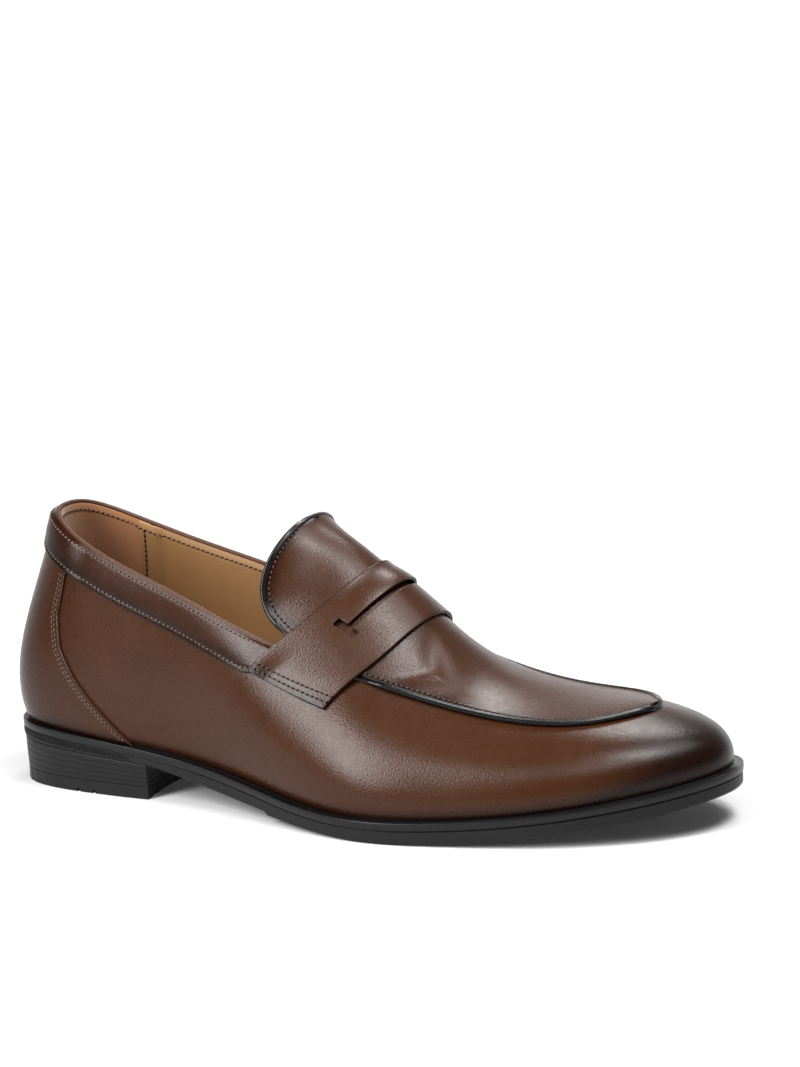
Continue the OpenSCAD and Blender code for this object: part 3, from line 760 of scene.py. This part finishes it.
def make_collar_band():
    """The padded-looking band, pressed in along its two rows of stitches."""
    s = np.linspace(-6.12, 6.12, 310)
    k = np.concatenate([np.linspace(0, 0.8, 34), np.linspace(0.82, 1, 10)])[None, :]
    depth = band_low(s)[:, None]
    fall = depth + (0.5 - depth) * k
    v = np.stack([drop(s, fall[:, c]) for c in range(fall.shape[1])], 1)
    lift = band_lift(s)[:, None]
    rows = (COLLAR_SEW_TOP, depth - COLLAR_SEW_LOW)
    groove = sum(0.2 * np.exp(-((fall - d) / 0.5) ** 2) for d in rows)
    between = np.clip((fall - COLLAR_SEW_TOP) / (depth - COLLAR_SEW_TOP - COLLAR_SEW_LOW), 0, 1)
    puff = (0.4 * np.sin(pi * between) - groove) * (1 - ease((fold(s)[:, None] - 5.5) / 0.3))
    piece = wall_sheet("collar_band_leather", s[:, None], v, lift, lift + UPPER_T + 0 * v,
                       [collar, raw_edge, flesh_side], swell=puff * 0.7 - (lift + 0.6) * roll_in(fall))
    return keep(piece, "collar_band")


def make_binding():
    s = np.linspace(-6.3, 6.3, 340)
    v = drop(s, 0.4)
    n = wall_n(s, v)
    path = wall(s, v) - n * 0.45
    # the bead's lighter leather is painted highlight along the topline edge
    bead = round_bar("topline_bead", path, n, 0.78, binding, flat=1.35)
    return keep(bead, "topline_binding")


def plug_t(j, d):
    """t at a distance d inside the apron's edge, measured straight across."""
    return 1 - d / np.maximum(curve(PLUG_W, j, "flip"), 2 * d)


def plug_inset(j, d):
    """t at a distance d over the surface from the apron's edge."""
    ts = np.linspace(1, 0.3, 57)
    run = arc(crown(j[:, None], ts[None, :]), 1)
    return np.array([np.interp(d, r, ts) for r in run])


def rumple(p):
    """A zigzag dent where the apron flexes ahead of the strap, and a slight sway down the tongue."""
    x, y = p[..., 0], p[..., 1]
    zig = 184.5 - 3.6 * abs((y + 19.5) / 5.0 - 0.6 * ((y + 19.5) / 9.0) ** 2)
    fade = np.exp(-((y + 18) / 12) ** 4)
    dent = -0.6 * np.exp(-((x - zig - 3.0) / 3.8) ** 2) * fade
    dent += 0.45 * np.exp(-((x - zig - 11) / 6) ** 2) * fade
    dent -= 0.5 * np.exp(-((x - 205) / 10) ** 2 - ((y - 16) / 10) ** 2)
    return dent + 0.16 * np.sin(x / 5.5 + 0.4) * np.exp(-((x - 150) / 22) ** 2) * np.cos(y / 14)


def make_plug(name, node, start, inset, low, high, materials):
    """The apron and tongue in one, or the lining under them."""
    rows = [np.linspace(start, 1.5, 18), np.linspace(1.58, 11, 190), np.linspace(11.04, 11.8, 16)]
    j = np.concatenate(rows)[:, None]
    across = np.sin(np.linspace(-pi / 2, pi / 2, 81) * 0.98)[None, :] / sin(pi / 2 * 0.98)
    t = plug_t(j, inset) * across
    p, n = crown(j, t), crown_n(j, t)
    p = p + n * rumple(p)[..., None]
    return keep(leather_sheet(name, p, n, low, high, materials), node)


def press(j):
    """Where the strap presses on the piping."""
    return ease((j - 4.4) / 0.5) * (1 - ease((j - 7.2) / 0.4))


def make_piping():
    """Two cords side by side round the whole apron and tongue."""
    js = np.concatenate([[0.01], np.linspace(0.1, 0.9, 14), np.linspace(1, 11, 260),
                         np.linspace(11.05, 11.9, 16), [11.99]])
    radius = 1.28 * (1 - 0.45 * press(js))
    stand = (0.9 - 0.7 * press(js))[:, None]
    paths, normals = [], []
    for side, way in ((-1, 1), (1, -1)):
        n = unit(crown_n(js, np.full_like(js, 0.97 * side)) + [0, 0, 0.4])
        paths.append((crown(js, np.full_like(js, float(side))) + n * stand)[::way])
        normals.append(n[::way])
    radii = np.concatenate([radius, radius[::-1]])
    bead = round_bar("apron_bead", np.vstack(paths), np.vstack(normals), radii, black_piping,
                     sides=24, closed=True, cleft=0.3)
    return keep(bead, "apron_piping")


def strap_controls(q):
    """Points that the strap hangs on, from its outer end over the apron to its inner end."""
    q = np.asarray(q, float)
    s0, s2, v0 = 5.63 + 1.2 * q, 6 + 1.24 * q, 0.79 - 0.074 * q
    lap = 1.3 * (1 - ease(q / 0.3))
    low = [(s0, v0, 0.8 + lap), ((s0 + s2) / 2, (v0 + 1) / 2, 1.2 + lap), (s2, 0.995 + 0 * q, 2.6 + 0 * q)]
    over = []
    for t, up in ((-0.8, 3.5), (-0.4, 3.6), (0, 4), (0.4, 3.6), (0.8, 3.5)):
        k = 1 - t * t
        j = 5.15 - 0.47 * k + q * (2.04 + 0.08 * k)
        over.append(crown(j, t + 0 * q) + crown_n(j, t + 0 * q) * up)
    outer = [wall(s, v) + wall_n(s, v) * d[..., None] for s, v, d in low]
    inner = [wall(ROUND - s, v) + wall_n(ROUND - s, v) * d[..., None] for s, v, d in low[::-1]]
    return np.stack(outer + over + inner)


def strap(q, r):
    """Strap surface: q from its rear edge to its front edge, r from the outer end to the inner end."""
    controls = strap_controls(q)
    return np.stack([curve(controls[:, k], r, "straight") for k in range(len(q))])


def strap_grid(q, r):
    """Points, normals and the bow of the strap's rear half over the slot."""
    p = strap(q, r)
    d_q = strap(q + 0.02, r) - strap(q - 0.02, r)
    n = unit(np.cross(d_q, strap(q, np.minimum(r + 0.05, 10)) - strap(q, np.maximum(r - 0.05, 0))))
    bulge = BOW * ease((q - 0.05) / 0.4) * (q <= 0.5)
    arch = np.cos(pi / 2 * np.minimum(1, abs(r - 5) / 1.95))
    return p, n, bulge[:, None] * arch[None, :]


def steps_between(knots, step):
    """Even steps that land on every knot."""
    spans = []
    for a, b in zip(knots, knots[1:]):
        spans.append(np.linspace(a, b, max(2, round((b - a) / step)), endpoint=False))
    return np.concatenate(spans + [knots[-1:]])


def make_strap():
    """The saddle strap, with its slot and the short cross cut at each end of the slot."""
    knots_q, knots_r = [0, 0.32, 0.46, 0.52, 0.62, 1], [0, 3.03, 3.22, 6.78, 6.97, 10]
    q, r = steps_between(knots_q, 0.02), steps_between(knots_r, 0.045)
    qi = [int(np.argmin(abs(q - k))) for k in knots_q]
    ri = [int(np.argmin(abs(r - k))) for k in knots_r]
    holes = [(qi[1], qi[4], ri[1], ri[2]), (qi[2], qi[3], ri[2], ri[3]), (qi[1], qi[4], ri[3], ri[4])]
    p, n, lift = strap_grid(q, r)
    piece = leather_sheet("strap_leather", p, n, lift - STRAP_T / 2, lift + STRAP_T / 2,
                          [upper, edge_paint, flesh_side], holes, 0.28)
    return keep(piece, "penny_strap")


def lap_in(s):
    """Depth of the lining's outer face; the quarters run in under the heel grip."""
    return -UPPER_T - GAP - (LINING_T + GAP) * (1 - ease((fold(s) - 2.25) / 0.2))


def lining_rise(s, turn):
    """v up the wall to just below the top edge, and how far the lining turns out to the bead there."""
    k = np.linspace(0, 1, 50)[None, :]
    up = 0.02 + (drop(s[:, 0], 0.9)[:, None] - 0.02) * k
    return up, turn * ease((k - 0.96) / 0.04) + 0 * up


def make_quarter_linings():
    for name, node, inner in (("quarter_lining_outer", "quarter_lining_lateral", False),
                              ("quarter_lining_inner", "quarter_lining_medial", True)):
        s = np.concatenate([np.linspace(2, 2.5, 16), np.linspace(2.55, 6.9, 70)])[:, None]
        s = ROUND - s[::-1] if inner else s
        up, turn_out = lining_rise(s, 0.9)
        lap = lap_in(s) + 0 * up
        piece = wall_sheet(name, s, up, lap - LINING_T, lap, [tan, tan_strip, tan], swell=turn_out)
        keep(piece, node)


def make_heel_grip():
    s = np.linspace(-2.2, 2.2, 90)[:, None]
    up, turn_out = lining_rise(s, 0.6)
    piece = wall_sheet("heel_grip_suede_lining", s, up, -UPPER_T - GAP - LINING_T, -UPPER_T - GAP,
                       [grip, grip, grip], swell=turn_out)
    return keep(piece, "heel_grip_lining")


def make_vamp_lining():
    s = np.linspace(6.95, 17.05, 150)[:, None]
    v = np.linspace(0.03, 0.93, 30)[None, :]
    piece = wall_sheet("vamp_lining_leather", s, v, -UPPER_T - 0.85 - LINING_T, -UPPER_T - 0.85,
                       [tan, tan_strip, tan])
    return keep(piece, "vamp_lining")


# ---- sewing ----
def stitch_tree():
    """Instances one arched stitch and one needle hole at every step along a seam line, the hole being a flat
    dark disc of painted shade.
    """
    tree = bpy.data.node_groups.new("sewn_seam", "GeometryNodeTree")
    face = tree.interface
    face.new_socket("Seam", in_out="INPUT", socket_type="NodeSocketGeometry")
    for label, kind in (("Stitch pitch", "Float"), ("Stitch length", "Float"), ("Thread radius", "Float"),
                        ("Arch", "Float"), ("Hole radius", "Float"), ("Seed", "Int"),
                        ("Thread", "Material"), ("Hole", "Material")):
        face.new_socket(label, in_out="INPUT", socket_type="NodeSocket" + kind)
    face.new_socket("Sewn", in_out="OUTPUT", socket_type="NodeSocketGeometry")

    def node(kind, values=None, **settings):
        made = tree.nodes.new(kind)
        for key, value in settings.items():
            setattr(made, key, value)
        for key, value in (values or {}).items():
            if isinstance(value, bpy.types.NodeSocket):
                tree.links.new(value, made.inputs[key])
            else:
                made.inputs[key].default_value = value
        return made

    def first(kind, values=None, **settings):
        return node(kind, values, **settings).outputs[0]

    def times(a, b):
        return first("ShaderNodeMath", {0: a, 1: b}, operation="MULTIPLY")

    given = node("NodeGroupInput").outputs
    pitch = given["Stitch pitch"]
    line = first("GeometryNodeMeshToCurve", {"Mesh": given["Seam"]})
    spaced = first("GeometryNodeResampleCurve", {"Curve": line, "Length": pitch}, mode="LENGTH")
    out = first("GeometryNodeInputNamedAttribute", {"Name": "out"}, data_type="FLOAT_VECTOR")
    along = first("GeometryNodeInputTangent")
    turn = first("FunctionNodeAxesToRotation", {"Primary Axis": along, "Secondary Axis": out},
                 primary_axis="X", secondary_axis="Z")
    half, sunk = times(given["Stitch length"], 0.5), times(given["Arch"], -0.6)
    start = first("ShaderNodeCombineXYZ", {"X": times(half, -1.0), "Z": sunk})
    middle = first("ShaderNodeCombineXYZ", {"Z": times(given["Arch"], 2.2)})
    end = first("ShaderNodeCombineXYZ", {"X": half, "Z": sunk})
    arch = first("GeometryNodeCurveQuadraticBezier",
                 {"Resolution": 6, "Start": start, "Middle": middle, "End": end})
    strand = first("GeometryNodeCurvePrimitiveCircle", {"Resolution": 6, "Radius": given["Thread radius"]})
    loop = first("GeometryNodeCurveToMesh", {"Curve": arch, "Profile Curve": strand, "Fill Caps": True})
    painted = first("GeometryNodeSetMaterial", {"Geometry": loop, "Material": given["Thread"]})
    wobble = node("FunctionNodeRandomValue", {"Min": 0.9, "Max": 1.1, "Seed": given["Seed"]},
                  data_type="FLOAT").outputs[1]
    size = first("ShaderNodeCombineXYZ", {"X": 1.0, "Y": wobble, "Z": wobble})
    sewn = first("GeometryNodeInstanceOnPoints",
                 {"Points": spaced, "Instance": painted, "Rotation": turn, "Scale": size})
    # a flat dark disc between stitches: painted shade for the needle hole
    dot = first("GeometryNodeMeshUVSphere", {"Segments": 8, "Rings": 4, "Radius": given["Hole radius"]})
    flat = first("GeometryNodeTransform", {"Geometry": dot, "Scale": (1.0, 1.0, 0.35)})
    hole_shade_disc = first("GeometryNodeSetMaterial", {"Geometry": flat, "Material": given["Hole"]})
    shift = first("ShaderNodeVectorMath", {0: along, "Scale": times(pitch, 0.5)}, operation="SCALE")
    moved = first("GeometryNodeSetPosition", {"Geometry": spaced, "Offset": shift})
    holes = first("GeometryNodeInstanceOnPoints", {"Points": moved, "Instance": hole_shade_disc, "Rotation": turn})
    joined = node("GeometryNodeJoinGeometry")
    tree.links.new(sewn, joined.inputs[0])
    tree.links.new(holes, joined.inputs[0])
    real = first("GeometryNodeRealizeInstances", {"Geometry": joined.outputs[0]})
    tree.links.new(real, node("NodeGroupOutput").inputs[0])
    return tree


SEAM_TREE = stitch_tree()


def sew(name, rows, material, node, seed, pitch=2.1, length=1.1, thick=0.3, hole=0.5):
    """Stitches along rows of (points, normals, closed), as separate stitches with a flat dark disc of painted
    shade for each needle hole.
    """
    mesh = bpy.data.meshes.new(name)
    points, normals, edges = [], [], []
    for p, n, closed in rows:
        base, count = len(points), len(p)
        points += ((p - [HEEL_MID, 0, 0]) * MM).tolist()
        normals += n.tolist()
        edges += [(base + k, base + k + 1) for k in range(count - 1)]
        edges += [(base + count - 1, base)] if closed else []
    mesh.from_pydata(points, edges, [])
    out = mesh.attributes.new("out", "FLOAT_VECTOR", "POINT")
    out.data.foreach_set("vector", np.asarray(normals, np.float32).ravel())
    piece = bpy.data.objects.new(name, mesh)
    scene.collection.objects.link(piece)
    sewing = piece.modifiers.new("sewing", "NODES")
    sewing.node_group = SEAM_TREE
    values = {"Stitch pitch": pitch * MM, "Stitch length": length * MM, "Thread radius": thick * MM,
              "Arch": STITCH_ARCH * MM, "Hole radius": hole * MM, "Seed": seed, "Thread": material,
              "Hole": needle_hole_shade}
    for item in SEAM_TREE.interface.items_tree:
        if item.name in values:
            sewing[item.identifier] = values[item.name]
    settle(piece)
    piece.data.shade_smooth()
    return keep(piece, node)


def wall_row(s, v, d):
    s, v = np.broadcast_arrays(np.asarray(s, float), np.asarray(v, float))
    n = wall_n(s, v)
    return wall(s, v) + n * np.broadcast_to(d, s.shape)[..., None], n, False


def sew_collar():
    """The top row shows outside and inside; the lower row only outside."""
    ring = np.linspace(-6.1, 6.1, 400)
    face = (band_lift(ring) + UPPER_T) - (band_lift(ring) + 0.6) * roll_in(COLLAR_SEW_TOP) - 0.14
    under_lap = (fold(ring) > 1.95) & (fold(ring) < 2.4)
    inner = lap_in(np.where(under_lap, 2.0, 3.0)) - LINING_T
    inside, way_out, _ = wall_row(ring, drop(ring, 3.4), inner)
    outside = wall_row(ring, drop(ring, COLLAR_SEW_TOP), face - 0.05)
    sew("collar_top_seam", [outside, (inside, -way_out, False)], brown_thread,
        "collar_top_stitching", hole=0.42, seed=3)
    ring = np.linspace(-5.55, 5.55, 380)
    row = wall_row(ring, drop(ring, band_low(ring) - COLLAR_SEW_LOW), band_lift(ring) + UPPER_T - 0.2)
    sew("collar_lower_seam", [row], brown_thread, "collar_lower_stitching", seed=4)


def sew_apron():
    js = np.linspace(0.95, 11.5, 420)
    t = plug_inset(js, APRON_SEW_IN)
    points, normals = [], []
    for side, way in ((-1, 1), (1, -1)):
        p, n = crown(js, side * t), crown_n(js, side * t)
        points.append((p + n * (UPPER_T - 0.02 + rumple(p))[:, None])[::way])
        normals.append(n[::way])
    row = np.vstack(points), np.vstack(normals), True
    sew("apron_seam", [row], dark_thread, "apron_stitching", seed=5)


def sew_strap():
    q = np.linspace(0.04, 0.96, 40)
    for name, node, inner in (("strap_seam_outer", "strap_stitching_lateral", False),
                              ("strap_seam_inner", "strap_stitching_medial", True)):
        rows = []
        for r in (0.3, 0.62):
            p, n, _ = strap_grid(q, np.array([10 - r if inner else r]))
            rows.append((p[:, 0] + n[:, 0] * (STRAP_T / 2 - 0.03), n[:, 0], False))
        sew(name, rows, dark_thread, node, seed=6)


def sew_counter():
    v = np.linspace(0.03, 0.8, 120)
    for name, node, inner in (("counter_seam_outer", "counter_stitching_lateral", False),
                              ("counter_seam_inner", "counter_stitching_medial", True)):
        rows = []
        for back in (0.05, 0.11):
            s = seam_at(v) - back
            rows.append(wall_row(ROUND - s if inner else s, v, UPPER_T - 0.05))
        sew(name, rows, brown_thread, node, seed=7, pitch=1.9, length=1.25, thick=0.22,
            hole=0.3)


def sew_lining():
    v = np.linspace(0.35, 0.94, 100)
    for name, node, s in (("lining_seam_outer", "lining_stitching_lateral", 2.1),
                          ("lining_seam_inner", "lining_stitching_medial", ROUND - 2.1)):
        p, n, _ = wall_row(s, v, lap_in(2.0) - LINING_T)
        sew(name, [(p, -n, False)], dark_thread, node, seed=8)


# ---- finishes of the CAD nodes that stay, and the paper sweep ----
def finish_inner_nodes():
    finishes = {"heel_top_lift": rubber, "insole_board": pressed_board("insole_fibre", (0.45, 0.32, 0.19)),
                "shank": brushed_steel("shank_steel"), "cork_filler": cork("cork"),
                "hidden_heel_wedge": pressed_board("wedge_foam", (0.07, 0.07, 0.07), 900.0),
                "heel_stiffener": pressed_board("stiffener_board", (0.6, 0.55, 0.45)),
                "toe_puff": pressed_board("toe_puff_felt", (0.62, 0.57, 0.5))}
    for node, finish in finishes.items():
        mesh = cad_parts[node].data
        mesh.materials.clear()
        mesh.materials.append(finish)


def make_sweep():
    """A seamless paper sweep: flat floor, then a wide curve up into the backdrop."""
    front, back, tall, radius, half_width = -12.0, 2.0, 2.6, 0.8, 12.0
    bend = np.linspace(0, pi / 2, 13)
    profile = [(back - radius + radius * sin(a), radius - radius * cos(a)) for a in bend]
    profile = [(front, 0.0)] + profile + [(back, tall)]
    turn = Matrix.Rotation(radians(VIEW_AZIMUTH), 3, "Z")
    points = [turn @ Vector((x, y, z)) for y, z in profile for x in (-half_width, half_width)]
    mesh = bpy.data.meshes.new("paper_sweep")
    mesh.from_pydata(points, [], [(2 * k, 2 * k + 1, 2 * k + 3, 2 * k + 2) for k in range(len(profile) - 1)])
    mesh.materials.append(paper_floor("paper"))
    mesh.shade_smooth()
    sweep = bpy.data.objects.new("paper_sweep", mesh)
    scene.collection.objects.link(sweep)


# ---- put the shoe together ----
make_outsole()
make_heel()
make_welt()
make_sock_liner()
make_vamp()
make_counter()
make_collar_band()
make_binding()
make_plug("apron_and_tongue", "apron", 0.3, 0.6, GAP, UPPER_T, [upper, edge_paint, flesh_side])
make_plug("apron_and_tongue_lining", "apron_lining", 0.75, 2.2, -LINING_T, 0, [tan, tan_strip, tan])
make_piping()
make_strap()
make_quarter_linings()
make_heel_grip()
make_vamp_lining()
sew_collar()
sew_apron()
sew_strap()
sew_counter()
sew_lining()
finish_inner_nodes()
make_sweep()
